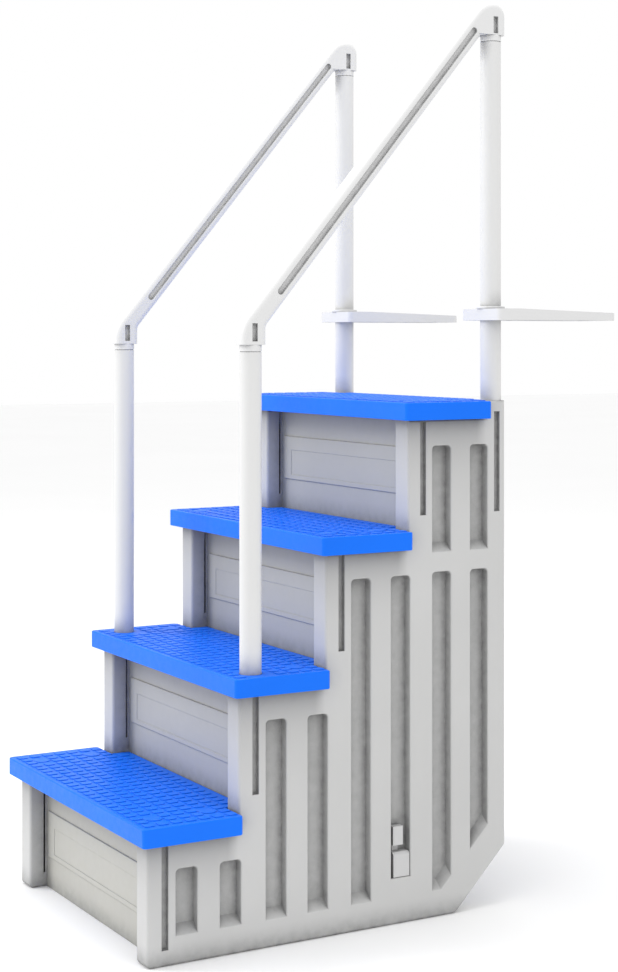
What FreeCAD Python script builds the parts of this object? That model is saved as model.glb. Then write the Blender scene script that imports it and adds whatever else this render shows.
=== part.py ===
"""Four-step in-pool ladder with two handrails and two deck flanges.

Millimetres. X runs across the steps, Y from the lowest step towards the pool wall, Z up.
The origin is on the pool floor, under the middle of the whole object.
"""
import FreeCAD, Part
import math
import os

# ---------------------------------------------------------------- driving sizes
step_count = 4
step_rise = 290.0
step_run = 215.0
first_step_height = 300.0

tread_width = 780.0
tread_thickness = 40.0
tread_nose = 22.0            # how far a tread stands out in front of its columns
tread_skin = 4.0
tread_rib = 3.0
tread_rib_pitch = 78.0
tread_corner_radius = 10.0
tread_edge_radius = 3.0
tread_foot_radius = 2.0
tread_ear_gap = 3.0          # between a tread's ear and the next column
tread_gap = 1.0              # between a tread's back edge and the riser behind it
tread_waist_gap = 2.0        # between a tread's back part and the side panels
tread_rib_places = (0.33, 0.66)  # cross ribs, as parts of the depth from front to back

frame_width = 720.0          # over the outer faces of the side panels
panel_thickness = 56.0
panel_wall = 4.0
panel_edge_radius = 6.0
panel_toe_radius = 10.0      # lowest front corner of the outline
panel_heel_radius = 20.0     # both ends of the sloped corner
panel_back_radius = 18.0     # of the upright corners behind the rear post
rear_socket_wall = 2.5       # behind the rear post
chamfer_height = 146.0       # sloped corner at the foot of the panel's back edge
chamfer_length = 145.0

recess_width = 50.0
recess_depth = 25.0
recess_slope = 20.0          # height of the sloped sill at the foot of each recess
recess_header = 60.0         # solid band between a recess and the step above
recess_foot = 60.0
recess_chamfer_band = 100.0  # solid band between a recess and the sloped corner
recess_offsets = (67.0, 171.0)   # from a column's front face to each recess of its bay
bridge_low = 97.0            # the horizontal band that splits the last bay's recesses,
bridge_high = 52.0           # measured down from the third tread's top

recess_lip_radius = 4.0      # rounding round the mouth of a recess
recess_corner_radius = 9.0   # of its outline

slot_width = 15.0            # blind groove in the outer face of each column
slot_depth = 11.0
slot_wall = 3.0
slot_shift = 2.0             # groove's middle in front of the post axis
slot_foot = 34.0
slot_head = 4.0
slot_last_head = 25.0        # below the top of the last column
slot_lip_radius = 1.5
inner_slot_width = 5.0       # drain slit in the inner face of each column
inner_slot_offset = 35.0
inner_slot_into_cavity = 0.5 # how far the slit is cut past the wall

post_diameter = 48.3
post_wall = 3.0
post_fit = 0.35              # radial clearance of a post in its tread or column
spigot_radius = 13.4         # the post's reduced foot, inside its column
spigot_wall = 2.6
shoulder_height = 12.0       # where the tube narrows to its foot
rear_post_seat = 20.0        # full-size seat at the top of the last column
post_setback = 43.0          # front post axis behind the second column's front face
rear_post_setback = 32.0     # rear post axis behind the last column's front face
post_engagement = 280.0      # length of post inside its column
front_post_top = 1285.0
rear_post_top = 2004.0

riser_setback = 44.0         # riser face behind a column's front face
riser_skin = 4.0
riser_flange = 24.0
riser_overlap = 30.0         # how far a riser reaches down behind the tread below
riser_side_gap = 0.5
riser_band_low = 75.0        # raised band, measured up from the tread below
riser_band_high = 184.0
riser_band_depth = 3.0
riser_band_end = 14.0        # plain strip beyond each end of the band
riser_inset_low = 87.0       # shallow panel inside the band
riser_inset_high = 150.0
riser_inset_half_width = 252.0
riser_inset_depth = 0.8
riser_band_radius = 2.0
riser_floor_gap = 0.5
riser_head_gap = 1.0         # under the tread above

rail_width = 48.0
rail_depth = 46.0
rail_wall = 4.0
rail_edge_radius = 14.0
rail_cap_depth = 58.0        # front to back size of the rail's vertical ends
rail_low_height = 1343.0     # bar centre line above the floor, at the front post
rail_top_height = 2095.0     # highest point of the handrail
rail_high_height = 2098.0    # bar centre line above the floor, at the rear post
rail_groove_width = 15.0     # grooves along both faces
rail_groove_depth = 7.0
rail_groove_margin = 62.0    # from a post axis to the groove's end, along Y
rail_front_bend = 80.0       # outer radius where the bar leaves the front end
rail_crown_bend = 60.0
rail_back_bend = 33.0
rail_inner_bend = 20.0       # under the bar, behind the front end

neck_height = 15.5           # collar seen between a post and the rail
joint_height = 1.6           # shadow groove between a post and the collar
joint_depth = 1.4
connector_length = 60.0
connector_head = 53.0        # the connector's upper end, above the top of the post
connector_wall = 3.0
connector_fit = 0.15
window_width = 13.0          # blind pockets in both faces of each rail end
window_height = 39.0
window_lifts = (23.0, 19.0)  # pockets' feet above the tops of the front and rear posts
window_shift = 1.5           # pocket's middle in front of the post axis
window_depth = 8.0
window_wall = 2.0
flat_gap = 0.3               # between the pocket and the flat of the connector
upper_bore_radius = 7.0

plate_width = 156.0
plate_front = 30.0           # from the post axis to the plate's front edge
plate_back = 316.0           # from the post axis to the plate's back edge
plate_height = 27.0
plate_back_height = 18.0
plate_underside = 1356.0     # above the floor
plate_skin = 4.0
plate_rib = 3.0
plate_front_radius = 13.0
plate_back_radius = 24.0
plate_back_bevel = 8.0
plate_foot_bevel = 4.0
plate_back_solid = 28.0      # solid strip along the back edge
plate_rib_places = (70.0, 155.0, 235.0)  # cross ribs, from the post axis
deck_hole_radius = 3.5
deck_hole_spacing_x = 110.0
deck_hole_spacing_y = 170.0
deck_hole_start = 110.0      # from the post axis to the first pair of holes

bush_post_clearance = 0.06
bush_wall = 1.9
bush_plate_clearance = 0.05
bush_collar_radius = 33.0
bush_collar_height = 5.7
bush_lip_radius = 27.4
bush_lip_height = 1.5
bush_gap = 0.3
bush_collar_edge = 2.0

cap_radius = 20.0
cap_thickness = 3.0          # of which the last part stands above the tread
cap_rise = 1.5
cap_edge_radius = 0.8
cap_setbacks = (56.5, 185.5) # screw axes behind a tread's front edge
cap_inset = 9.0              # screw axes outside the panels' inner faces
cap_gap = 0.3
cap_peg_gap = 0.3
cap_peg_length = 3.0
post_hole_gap = 0.3          # more clearance round a post in its tread than in its column

tread_screw_radius = 3.0
tread_screw_head_radius = 6.0
tread_screw_head_height = 3.5
tread_screw_bore_gap = 1.0   # round the head
tread_screw_drive = 2.0      # radius and depth of the driver hole
tread_screw_reach = 28.0     # into the panel under the tread
screw_boss_radius = 8.0
riser_screw_radius = 2.0
riser_screw_head_radius = 4.5
riser_screw_head_height = 2.5
riser_screw_reach = 12.0
riser_screw_heights = (70.0, 200.0)
riser_screw_setback = 14.0
riser_screw_gap = 0.2
rear_screw_heights = (60.0, 170.0)   # down from the last tread's top
rear_screw_bite = 3.4        # through the column's wall into the post's foot

brace_bay = 3                # the brace comes through the second recess of this bay,
brace_setback = 6.0          # this far behind the recess's front wall
brace_depth = 26.0
brace_low = 176.0
brace_height = 42.0
brace_wall = 3.0
brace_end_gap = 3.0          # brace end behind the panel's outer face
brace_fit = 0.5
brace_solid_end = 8.0        # the channel's solid ends start this far inside the panels
latch_width = 43.0
latch_low = 104.0
latch_height = 56.0
latch_bevel = 6.0
latch_face_gap = 1.5
latch_stem_width = 28.0
latch_stem_height = 34.0
latch_tongue_width = 16.0
latch_tongue_thickness = 6.0
latch_tongue_bite = 8.0
latch_tongue_inset = 1.5     # from the recess floor to the tongue
latch_tongue_gap = 0.3
latch_back_gap = 0.3         # behind the pad
latch_edge_radius = 1.5
latch_hook_thickness = 4.7
latch_hook_lip = 4.0         # how far the hook stands up behind the panel
latch_hook_gap = 0.3
cut_past = 1.0               # how far a cutting tool runs past the face it opens

# ------------------------------------------------------- places worked out from them
post_radius = post_diameter / 2
overall_depth = tread_nose + step_count * step_run + rear_post_setback + plate_back
front_y = -overall_depth / 2
outer_x = frame_width / 2
inner_x = outer_x - panel_thickness
post_x = outer_x - panel_thickness / 2
socket_radius = post_radius + post_fit
spigot_socket_radius = spigot_radius + post_fit


def tread_front(i):
    """Y of the front edge of tread i, counted from 1."""
    return front_y + (i - 1) * step_run


def column_front(i):
    """Y of the front face of column i, counted from 1; the fifth holds the rear post."""
    return front_y + tread_nose + (i - 1) * step_run


def tread_top(i):
    """Z of the top of tread i; tread 0 is the floor."""
    if i == 0:
        return 0.0
    return first_step_height + (i - 1) * step_rise


def tread_under(i):
    """Z of the underside of tread i."""
    return tread_top(i) - tread_thickness


front_post_y = column_front(2) + post_setback
rear_post_y = column_front(step_count + 1) + rear_post_setback
panel_back = rear_post_y + socket_radius + rear_socket_wall
front_post_foot = tread_under(2) - post_engagement
rear_post_foot = tread_top(step_count) - post_engagement
rear_socket_front = rear_post_y - panel_thickness / 2
chamfer_start = panel_back - chamfer_length
latch_y = column_front(brace_bay) + recess_offsets[1] + brace_setback
recess_floor_x = outer_x - recess_depth
rail_outer_x = post_x + rail_width / 2
rear_screw_reach = post_x - spigot_radius + rear_screw_bite - inner_x
tread_screw_x = inner_x + cap_inset


# ------------------------------------------------------------------- shape helpers
def block(low, high):
    """Box between two corners."""
    size = [b - a for a, b in zip(low, high)]
    return Part.makeBox(size[0], size[1], size[2], FreeCAD.Vector(*low))


def mid_block(centre_x, half_x, y0, y1, z0, z1):
    """Box that is centred on X."""
    return block((centre_x - half_x, y0, z0), (centre_x + half_x, y1, z1))


def rod(x, y, z0, z1, radius):
    """Upright cylinder."""
    return Part.makeCylinder(radius, z1 - z0, FreeCAD.Vector(x, y, z0))


def cross_rod(x0, x1, y, z, radius):
    """Cylinder along X."""
    start = FreeCAD.Vector(min(x0, x1), y, z)
    return Part.makeCylinder(radius, abs(x1 - x0), start, FreeCAD.Vector(1, 0, 0))


def slab_yz(points, x0, x1):
    """Flat outline given as (y, z) points, carried from x0 to x1."""
    corners = [FreeCAD.Vector(x0, y, z) for y, z in points]
    face = Part.Face(Part.makePolygon(corners + corners[:1]))
    return face.extrude(FreeCAD.Vector(x1 - x0, 0, 0))


def slab_xz(points, y0, y1):
    """Flat outline given as (x, z) points, carried from y0 to y1."""
    corners = [FreeCAD.Vector(x, y0, z) for x, z in points]
    face = Part.Face(Part.makePolygon(corners + corners[:1]))
    return face.extrude(FreeCAD.Vector(0, y1 - y0, 0))


def rounded_outline(points, radii, x0):
    """Closed wire at x0 through (y, z) points, each corner turned with its own radius."""
    count = len(points)
    edges = []
    last = None
    first = None
    for k in range(count):
        corner = FreeCAD.Vector(x0, *points[k])
        before = FreeCAD.Vector(x0, *points[k - 1])
        after = FreeCAD.Vector(x0, *points[(k + 1) % count])
        into = (before - corner).normalize()
        out = (after - corner).normalize()
        if radii[k] > 0:
            half = into.getAngle(out) / 2
            reach = radii[k] / math.tan(half)
            start = corner + into * reach
            end = corner + out * reach
            middle_way = (into + out).normalize()
            middle = corner + middle_way * (radii[k] / math.sin(half) - radii[k])
            arc = Part.Arc(start, middle, end).toShape()
        else:
            start = corner
            end = corner
            arc = None
        if last is not None:
            edges.append(Part.LineSegment(last, start).toShape())
        else:
            first = start
        if arc is not None:
            edges.append(arc)
        last = end
    edges.append(Part.LineSegment(last, first).toShape())
    return Part.Wire(edges)


def fuse_all(shapes):
    """One shape from many."""
    shapes = list(shapes)
    if len(shapes) == 1:
        return shapes[0]
    return shapes[0].multiFuse(shapes[1:]).removeSplitter()


def cut_all(shape, tools):
    """Take every tool away from a shape."""
    return shape.cut(fuse_all(tools))


def upright_edges(shape, keep):
    """Straight upright edges whose middle point passes a test."""
    found = []
    for edge in shape.Edges:
        box = edge.BoundBox
        if box.XLength < 1e-6 and box.YLength < 1e-6 and keep(edge.CenterOfMass):
            found.append(edge)
    return found


def edges_near(shape, wanted):
    """The edges of a changed shape that lie where the wanted edges were."""
    middles = [edge.CenterOfMass for edge in wanted]
    return [e for e in shape.Edges if any(e.CenterOfMass.distanceToPoint(m) < 1e-3 for m in middles)]


def mirrored(shape):
    """The same piece on the other side of the ladder."""
    return shape.mirror(FreeCAD.Vector(0, 0, 0), FreeCAD.Vector(1, 0, 0))


# ---------------------------------------------------------------------- side panels
def panel_outline(inset):
    """Stepped outline of a side panel, moved inwards by a wall's thickness."""
    points = [(column_front(1) + inset, inset)]
    for i in range(1, step_count + 1):
        points.append((column_front(i) + inset, tread_under(i) - inset))
        points.append((column_front(i + 1) + inset, tread_under(i) - inset))
    points.append((column_front(step_count + 1) + inset, tread_top(step_count) - inset))
    points.append((panel_back - inset, tread_top(step_count) - inset))
    slope = math.hypot(chamfer_length, chamfer_height)
    shift = inset * slope / chamfer_length
    rise = chamfer_height / chamfer_length
    foot_back = panel_back - chamfer_length
    points.append((panel_back - inset, chamfer_height + shift - inset * rise))
    points.append((foot_back + (inset - shift) / rise, inset))
    return points


def recess_foot_at(y):
    """Foot of a recess: level, or lifted over the panel's sloped corner."""
    chamfer_z = (y - chamfer_start) * chamfer_height / chamfer_length
    return max(recess_foot, chamfer_z + recess_chamfer_band)


def holds_latch(y0, y1):
    """Whether a recess is the one with the brace end and its latch."""
    return y0 < latch_y < y1


def recess_spans():
    """Each outer recess as (y0, y1, z0, z1)."""
    spans = []
    for i in range(1, step_count + 1):
        for offset in recess_offsets:
            start = column_front(i) + offset
            end = min(start + recess_width, rear_socket_front)
            head = tread_under(i) - recess_header
            if i == step_count:
                split = tread_top(step_count - 1)
                spans.append((start, end, split - bridge_high, head))
                head = split - bridge_low
            foot = recess_foot_at(start)
            if holds_latch(start, end):
                foot = latch_low - brace_fit
            spans.append((start, end, foot, head))
    return spans


def above_sill(y0, z0, y1, z1, height):
    """Space above a sill that falls outwards, its outer edge going from (y0, z0) to (y1, z1)."""
    outside = outer_x + cut_past
    fall = recess_slope * cut_past / recess_depth
    corners = [
        FreeCAD.Vector(recess_floor_x, y0, z0 + recess_slope),
        FreeCAD.Vector(recess_floor_x, y1, z1 + recess_slope),
        FreeCAD.Vector(outside, y1, z1 - fall),
        FreeCAD.Vector(outside, y0, z0 - fall),
    ]
    face = Part.Face(Part.makePolygon(corners + corners[:1]))
    return face.extrude(FreeCAD.Vector(0, 0, height))


def with_round_corners(tool, head):
    """Rounds the two upper corners of a recess's outline."""
    corners = []
    for edge in tool.Edges:
        box = edge.BoundBox
        if box.XLength > 1 and box.YLength < 1e-6 and box.ZMin > head - 1e-6:
            corners.append(edge)
    return tool.makeFillet(recess_corner_radius, corners)


def recess_cutter(span):
    """Tool for one recess, with its sloped sill."""
    y0, y1, z0, z1 = span
    low = (recess_floor_x, y0, z0 - recess_slope)
    high = (outer_x + cut_past, y1, z1)
    if holds_latch(y0, y1):
        return with_round_corners(block((recess_floor_x, y0, z0), high), z1)
    tool = block(low, high).common(above_sill(y0, z0, y1, z0, z1))
    if z1 < tread_top(step_count - 1) and recess_foot_at(y1) > recess_foot:
        rise = (y1 - y0) * chamfer_height / chamfer_length
        foot = recess_foot_at(y1)
        tool = tool.common(above_sill(y0, foot - rise, y1, foot, z1))
    return with_round_corners(tool, z1)


def slot_spans():
    """Each outer groove as (y0, y1, z0, z1)."""
    spans = []
    for i in range(1, step_count + 2):
        below = tread_top(i - 1)
        top = tread_under(i) - slot_head
        middle = column_front(i) + post_setback - slot_shift
        if i == step_count + 1:
            below = tread_top(step_count - 1)
            top = tread_top(step_count) - slot_last_head
            middle = rear_post_y - slot_shift
        half = slot_width / 2
        spans.append((middle - half, middle + half, below + slot_foot, top))
    return spans


def slot_cutter(span, depth, margin):
    """Block for one groove, grown by a margin on its four sides."""
    y0, y1, z0, z1 = span
    low = (outer_x - depth, y0 - margin, z0 - margin)
    return block(low, (outer_x + cut_past, y1 + margin, z1 + margin))


def inner_slit_cutters():
    """Narrow drain slits through the inner face of every column."""
    tools = []
    wall = inner_x + panel_wall + inner_slot_into_cavity
    for i in range(1, step_count + 1):
        start = column_front(i) + inner_slot_offset
        low = (inner_x - cut_past, start, tread_top(i - 1) + slot_foot)
        tools.append(block(low, (wall, start + inner_slot_width, tread_under(i) - slot_head)))
    return tools


def tread_screw_rows(i):
    """Y of the screws through tread i; the post takes the place of the front ones on tread 2."""
    setbacks = cap_setbacks[1:] if i == 2 else cap_setbacks
    return [tread_front(i) + setback for setback in setbacks]


def tread_screw_places():
    """Screw axes on the right side: (x, y, z of the tread's underside)."""
    places = []
    for i in range(1, step_count + 1):
        places += [(tread_screw_x, y, tread_under(i)) for y in tread_screw_rows(i)]
    return places


def riser_screw_places():
    """Riser screw axes on the right side: (y, z)."""
    places = []
    for i in range(1, step_count + 1):
        y = column_front(i) + riser_setback + riser_screw_setback
        places += [(y, tread_top(i - 1) + height) for height in riser_screw_heights]
    return places


def rear_screw_places():
    """Screws that hold the rear post: (y, z)."""
    return [(rear_post_y, tread_top(step_count) - drop) for drop in rear_screw_heights]


def brace_window(gap):
    """The hole in the panel that the brace end comes through, as (y0, y1, z0, z1)."""
    y1 = latch_y + brace_depth
    return (latch_y - gap, y1 + gap, brace_low - gap, brace_low + brace_height + gap)


def latch_window(gap):
    """The hole in the panel for the latch's stem, as (y0, y1, z0, z1)."""
    y0 = latch_y + (latch_width - latch_stem_width) / 2
    z0 = latch_low + (latch_height - latch_stem_height) / 2
    return (y0 - gap, y0 + latch_stem_width + gap, z0 - gap, z0 + latch_stem_height + gap)


def panel_blank():
    """Solid stepped panel with its rims and its lowest corners rounded."""
    body = slab_yz(panel_outline(0.0), inner_x, outer_x)
    toe = []
    heel = []
    for edge in body.Edges:
        box = edge.BoundBox
        if box.XLength > 1 and box.ZMax < 1e-6 and box.YMax < chamfer_start - 1:
            toe.append(edge)
        elif box.XLength > 1 and box.ZMax < chamfer_height + 1:
            heel.append(edge)
    body = body.makeFillet(panel_toe_radius, toe)
    body = body.makeFillet(panel_heel_radius, edges_near(body, heel))
    rims = [edge for edge in body.Edges if edge.BoundBox.XLength < 1e-6]
    return body.makeFillet(panel_edge_radius, rims)


def back_corner_tools(inset):
    """What lies outside the rounded upright corners at the back, moved in by a wall."""
    radius = panel_back_radius - inset
    head = tread_top(step_count) + cut_past
    y = panel_back - panel_back_radius
    tools = []
    for x, past in ((outer_x, cut_past), (inner_x, -cut_past)):
        way = math.copysign(panel_back_radius, past)
        corner_x = sorted((x - way, x + past))
        corner = block((corner_x[0], y, -cut_past), (corner_x[1], panel_back + cut_past, head))
        tools.append(corner.cut(rod(x - way, y, -cut_past, head, radius)))
    return tools


def with_soft_lips(body, spans, radius):
    """Rounds the edges where recesses or grooves meet the outer face."""
    lips = []
    for edge in body.Edges:
        box = edge.BoundBox
        if box.XMin < outer_x - 1e-6 or box.XLength > 1e-6:
            continue
        for y0, y1, z0, z1 in spans:
            inside_y = box.YMin > y0 - 1e-3 and box.YMax < y1 + 1e-3
            inside_z = box.ZMin > z0 - recess_slope and box.ZMax < z1 + 1e-3
            if inside_y and inside_z:
                lips.append(edge)
    return body.makeFillet(radius, lips)


def panel_solid_parts():
    """What stays solid inside the panel: walls of recesses and grooves, sockets, bosses."""
    kept = []
    back_of_recess = recess_floor_x - panel_wall
    for y0, y1, z0, z1 in recess_spans():
        low = (back_of_recess, y0 - panel_wall, z0 - panel_wall)
        kept.append(block(low, (outer_x, y1 + panel_wall, z1 + panel_wall)))
    kept += [slot_cutter(span, slot_depth + slot_wall, slot_wall) for span in slot_spans()]
    boss = spigot_socket_radius + panel_wall
    front_foot = front_post_foot - panel_wall
    rear_foot = rear_post_foot - panel_wall
    rear_top = tread_top(step_count)
    seat_foot = rear_top - rear_post_seat - panel_wall
    kept.append(rod(post_x, front_post_y, front_foot, tread_under(2), boss))
    kept.append(rod(post_x, rear_post_y, rear_foot, rear_top, boss))
    kept.append(rod(post_x, rear_post_y, seat_foot, rear_top, socket_radius + panel_wall))
    for x, y, z in tread_screw_places():
        kept.append(rod(x, y, z - tread_screw_reach - panel_wall, z, screw_boss_radius))
    for y, z in rear_screw_places():
        kept.append(cross_rod(inner_x, post_x, y, z, panel_wall + riser_screw_radius))
    margin = 2 * panel_wall
    low = (inner_x, latch_y - margin, latch_low - panel_wall)
    high = (outer_x, latch_y + latch_width + margin, brace_low + brace_height + margin)
    kept.append(block(low, high))
    return kept


def side_panel():
    """Right side panel: a hollow moulding with post sockets, recesses and grooves."""
    body = cut_all(panel_blank(), back_corner_tools(0.0))
    body = cut_all(body, [recess_cutter(span) for span in recess_spans()])
    body = with_soft_lips(body, recess_spans(), recess_lip_radius)
    body = cut_all(body, [slot_cutter(span, slot_depth, 0.0) for span in slot_spans()])
    body = with_soft_lips(body, slot_spans(), slot_lip_radius)

    hollow = slab_yz(panel_outline(panel_wall), inner_x + panel_wall, outer_x - panel_wall)
    tools = [cut_all(hollow, panel_solid_parts() + back_corner_tools(panel_wall))]
    tools += inner_slit_cutters()
    front_top = tread_under(2) + cut_past
    rear_top = tread_top(step_count) + cut_past
    seat_foot = tread_top(step_count) - rear_post_seat
    tools.append(rod(post_x, front_post_y, front_post_foot, front_top, spigot_socket_radius))
    tools.append(rod(post_x, rear_post_y, rear_post_foot, rear_top, spigot_socket_radius))
    tools.append(rod(post_x, rear_post_y, seat_foot, rear_top, socket_radius))
    for x, y, z in tread_screw_places():
        tools.append(rod(x, y, z - tread_screw_reach, z + cut_past, tread_screw_radius))
    for y, z in riser_screw_places():
        tip = inner_x + riser_screw_reach
        tools.append(cross_rod(inner_x - cut_past, tip, y, z, riser_screw_radius))
    for y, z in rear_screw_places():
        tip = inner_x + rear_screw_reach
        tools.append(cross_rod(inner_x - cut_past, tip, y, z, riser_screw_radius))
    for y0, y1, z0, z1 in (brace_window(brace_fit), latch_window(brace_fit)):
        tools.append(block((inner_x - cut_past, y0, z0), (recess_floor_x + cut_past, y1, z1)))
    return cut_all(body, tools)


# --------------------------------------------------------------------------- treads
def tread_blank(i, inset):
    """Outline of a tread with its two ears, moved in by a wall's thickness."""
    front = tread_front(i) + inset
    ear_back = column_front(i + 1) - tread_ear_gap - inset
    back = column_front(i + 1) + riser_setback - tread_gap - inset
    waist = inner_x - tread_waist_gap - inset
    half = tread_width / 2 - inset
    low = tread_under(i)
    top = tread_top(i)
    wide = mid_block(0, half, front, ear_back, low, top)
    deep = mid_block(0, waist, front, back, low, top)
    return wide.fuse(deep).removeSplitter()


def tread_skin_blank(i):
    """The tread's outside, with its corners and its two rims rounded."""
    body = tread_blank(i, 0.0)
    ears = upright_edges(body, lambda p: abs(p.x) > inner_x)
    body = body.makeFillet(tread_corner_radius, ears)
    rim = [edge for edge in body.Edges if edge.BoundBox.ZMin > tread_top(i) - 1e-6]
    body = body.makeFillet(tread_edge_radius, rim)
    foot = [edge for edge in body.Edges if edge.BoundBox.ZMax < tread_under(i) + 1e-6]
    return body.makeFillet(tread_foot_radius, foot)


def tread_ribs(i):
    """Ribs under the tread, both ways."""
    front = tread_front(i)
    back = column_front(i + 1) + riser_setback - tread_gap
    low = tread_under(i)
    top = tread_top(i)
    half = tread_width / 2
    count = int((half - tread_skin) // tread_rib_pitch)
    ribs = []
    for k in range(-count, count + 1):
        ribs.append(mid_block(k * tread_rib_pitch, tread_rib / 2, front, back, low, top))
    for part in tread_rib_places:
        y = front + (back - front) * part
        ribs.append(mid_block(0, half, y - tread_rib / 2, y + tread_rib / 2, low, top))
    return ribs


def tread(i):
    """One tread: a ribbed tray, open below, with ears over the side panels."""
    low = tread_under(i)
    top = tread_top(i)
    past = top + cut_past
    seat = top + cap_rise - cap_thickness
    head_bore = tread_screw_head_radius + tread_screw_bore_gap
    pocket = tread_blank(i, tread_skin)
    pocket.translate(FreeCAD.Vector(0, 0, -tread_skin))
    kept = tread_ribs(i)
    holes = []
    for side in (-1, 1):
        for y in tread_screw_rows(i):
            x = side * tread_screw_x
            kept.append(rod(x, y, low, top, head_bore + tread_skin))
            holes.append(rod(x, y, low - cut_past, past, tread_screw_radius))
            holes.append(rod(x, y, low + tread_skin, past, head_bore))
            holes.append(rod(x, y, seat, past, cap_radius + cap_gap))
        if i == 2:
            hole_radius = socket_radius + post_hole_gap
            kept.append(rod(side * post_x, front_post_y, low, top, hole_radius + tread_skin))
            holes.append(rod(side * post_x, front_post_y, low - cut_past, past, hole_radius))
    return cut_all(tread_skin_blank(i), [cut_all(pocket, kept)] + holes)


def screw_caps():
    """Round covers over the tread screws."""
    peg_radius = tread_screw_head_radius + tread_screw_bore_gap - cap_peg_gap
    caps = []
    for x, y, z in tread_screw_places():
        top = z + tread_thickness + cap_rise
        seat = top - cap_thickness
        for side in (-1, 1):
            disc = rod(side * x, y, seat, top, cap_radius)
            rim = [edge for edge in disc.Edges if edge.BoundBox.ZMin > top - 1e-6]
            disc = disc.makeFillet(cap_edge_radius, rim)
            peg = rod(side * x, y, seat - cap_peg_length, seat, peg_radius)
            caps.append(disc.fuse(peg))
    return Part.makeCompound(caps)


def tread_screws():
    """Upright screws that hold the treads down on the side panels."""
    drive = tread_screw_drive
    screws = []
    for x, y, z in tread_screw_places():
        seat = z + tread_skin
        head_top = seat + tread_screw_head_height
        for side in (-1, 1):
            head = rod(side * x, y, seat, head_top, tread_screw_head_radius)
            shank = rod(side * x, y, z - tread_screw_reach, seat, tread_screw_radius)
            socket = rod(side * x, y, head_top - drive, head_top + cut_past, drive)
            screws.append(head.fuse(shank).cut(socket))
    return Part.makeCompound(screws)


# --------------------------------------------------------------------------- risers
def riser(i):
    """Panel that closes the gap between two treads, with a raised band across it."""
    face = column_front(i) + riser_setback
    back = face + riser_flange
    half = inner_x - riser_side_gap
    base = tread_top(i - 1)
    low = base - riser_overlap
    if i == 1:
        low = riser_floor_gap
    high = tread_under(i) - riser_head_gap
    skin = riser_skin
    body = mid_block(0, half, face, back, low, high)
    hollow = mid_block(0, half - skin, face + skin, back + cut_past, low + skin, high - skin)

    band_face = face - riser_band_depth
    band_low = base + riser_band_low
    band_high = base + riser_band_high
    band_half = half - riser_band_end
    band = mid_block(0, band_half, band_face, face + skin, band_low, band_high)
    rim = [edge for edge in band.Edges if edge.BoundBox.YMax < band_face + 1e-6]
    band = band.makeFillet(riser_band_radius, rim)
    band_back = mid_block(
        0, band_half - skin, band_face + skin, face + skin + cut_past, band_low + skin, band_high - skin)
    inset = mid_block(
        0, riser_inset_half_width, band_face - cut_past, band_face + riser_inset_depth,
        base + riser_inset_low, base + riser_inset_high)

    stiffener = mid_block(0, skin / 2, face + skin, back, low, high)
    body = body.cut(hollow).fuse(band).cut(band_back).fuse(stiffener).cut(inset)
    holes = []
    clearance = riser_screw_radius + riser_screw_gap
    for y, z in riser_screw_places()[2 * (i - 1):2 * i]:
        holes.append(cross_rod(-half - cut_past, half + cut_past, y, z, clearance))
    return cut_all(body, holes).removeSplitter()


def side_screws(places, seat, reach):
    """Pan-head screws driven outwards into the columns on both sides."""
    tip = inner_x + reach
    head_x = seat - riser_screw_head_height
    screws = []
    for y, z in places:
        for side in (-1, 1):
            shank = cross_rod(side * seat, side * tip, y, z, riser_screw_radius)
            head = cross_rod(side * head_x, side * seat, y, z, riser_screw_head_radius)
            screws.append(shank.fuse(head))
    return Part.makeCompound(screws)


def riser_screws():
    """Two screws at each end of every riser."""
    return side_screws(riser_screw_places(), inner_x - riser_side_gap - riser_skin, riser_screw_reach)


def rear_post_screws():
    """Screws through the last columns into the feet of the rear posts."""
    return side_screws(rear_screw_places(), inner_x, rear_screw_reach)


# --------------------------------------------------------------- lower brace, latches
def lower_cross_brace():
    """Channel that ties the side panels together low down, its ends through both panels."""
    y0, y1, z0, z1 = brace_window(0.0)
    half = outer_x - brace_end_gap
    wall = brace_wall
    body = mid_block(0, half, y0, y1, z0, z1)
    open_half = inner_x - brace_solid_end
    hollow = mid_block(0, open_half, y0 + wall, y1 + cut_past, z0 + wall, z1 - wall)
    body = body.cut(hollow)
    ribs = [mid_block(side * inner_x / 3, wall / 2, y0, y1, z0, z1) for side in (-1, 1)]
    body = fuse_all([body] + ribs)
    return cut_all(body, [latch_tongue(side, latch_tongue_gap) for side in (-1, 1)])


def latch_tongue(side, gap):
    """The latch's upright tongue, which bites into the brace's underside."""
    x0 = recess_floor_x + latch_tongue_inset
    x1 = x0 + latch_tongue_thickness
    y0 = latch_y + (brace_depth - latch_tongue_width) / 2
    y1 = y0 + latch_tongue_width
    foot = latch_low + latch_height / 2
    head = brace_low + latch_tongue_bite
    piece = block((x0 - gap, y0 - gap, foot), (x1 + gap, y1 + gap, head + gap))
    if side < 0:
        return mirrored(piece)
    return piece


def brace_latch():
    """Right latch: a flush pad in its recess, a stem inwards and a tongue upwards."""
    back_x = recess_floor_x + latch_back_gap
    face_x = outer_x - latch_face_gap
    top = latch_low + latch_height
    outline = [
        (back_x, latch_low),
        (face_x, latch_low),
        (face_x, top - latch_bevel),
        (face_x - latch_bevel, top),
        (back_x, top),
    ]
    pad = slab_xz(outline, latch_y, latch_y + latch_width)
    edges = [e for e in pad.Edges if e.BoundBox.XMin > face_x - 1e-6]
    pad = pad.makeFillet(latch_edge_radius, edges)
    y0, y1, z0, z1 = latch_window(0.0)
    hook_x = inner_x - latch_hook_gap
    stem = block((hook_x, y0, z0), (back_x + cut_past, y1, z1))
    hook = block((hook_x - latch_hook_thickness, y0, z0), (hook_x, y1, z1 + latch_hook_lip))
    return fuse_all([pad, stem, hook, latch_tongue(1, 0.0)])


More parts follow.
